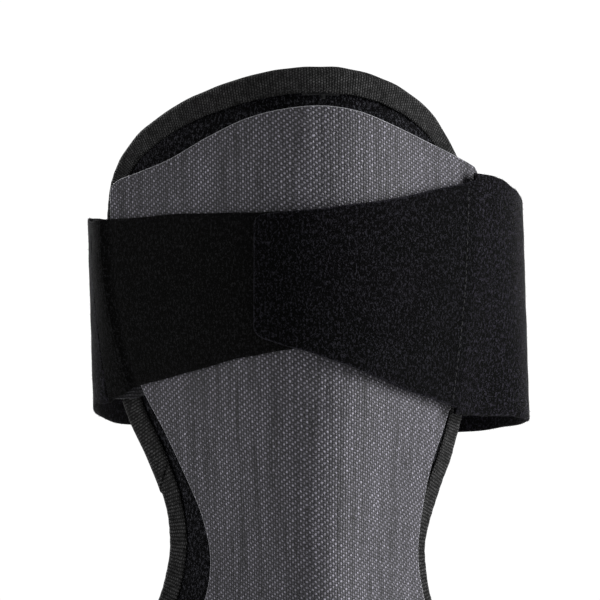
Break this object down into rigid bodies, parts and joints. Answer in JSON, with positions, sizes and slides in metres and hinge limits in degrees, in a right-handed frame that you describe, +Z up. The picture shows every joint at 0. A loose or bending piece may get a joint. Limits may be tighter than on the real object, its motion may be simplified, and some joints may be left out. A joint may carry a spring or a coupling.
{
  "type": "shin guard",
  "caption": "Shin guard with a rigid woven-faced shell, a removable padded liner and one wide wrap-round calf strap with a hook tab.",
  "frame": {"origin": "on the axis of the lower leg, level with the middle of the strap", "axes": "+Z up the leg to the knee, -Y the front of the shin, +X to the right as seen from the front"},
  "size_m": [0.163, 0.1319, 0.2821],
  "materials": {
    "woven_facing": "fine plain weave in dark grey, bonded, semi-matt",
    "shell_core": "moulded black composite",
    "hook": "moulded hook tape",
    "binding_tape": "ribbed woven tape",
    "loop_face": "brushed loop knit",
    "foam": "closed-cell foam",
    "back_mesh": "spacer mesh",
    "strap_fabric": "brushed elastic loop fabric",
    "tab_fabric": "brushed loop fabric with a pressed edge"
  },
  "bodies": {
    "shell": {"shell_facing": "woven_facing", "shell_core": "shell_core", "hook_patch_top_left": "hook", "hook_patch_top_right": "hook", "hook_patch_waist": "hook", "hook_patch_ankle_left": "hook", "hook_patch_ankle_right": "hook", "strap_anchor": "strap_fabric", "landing_strap": "strap_fabric", "calf_strap_root": "strap_fabric"},
    "liner": {"liner_binding": "binding_tape", "liner_loop_face": "loop_face", "liner_foam": "foam", "liner_back_mesh": "back_mesh"},
    "loop": {"calf_strap": "strap_fabric"},
    "tab": {"calf_strap_front": "strap_fabric", "strap_tab": "tab_fabric", "tab_hook": "hook"}
  },
  "joints": [
    {"name": "liner_peel", "type": "slide", "parent": "shell", "child": "liner", "axis": [0, 1, 0], "range_m": [0, 0.006]},
    {"name": "loop_fold", "type": "hinge", "parent": "shell", "child": "loop", "pos_m": [-0.0801, 0.006, 0], "axis": [0, 0, 1], "range_deg": [0, 22]},
    {"name": "tab_fold", "type": "hinge", "parent": "loop", "child": "tab", "pos_m": [0.0831, 0.006, 0], "axis": [0, 0, 1], "range_deg": [0, 110]}
  ],
  "couplings": [
    {"joint": "loop_fold", "follows": "tab_fold", "ratio": 0.2}
  ]
}
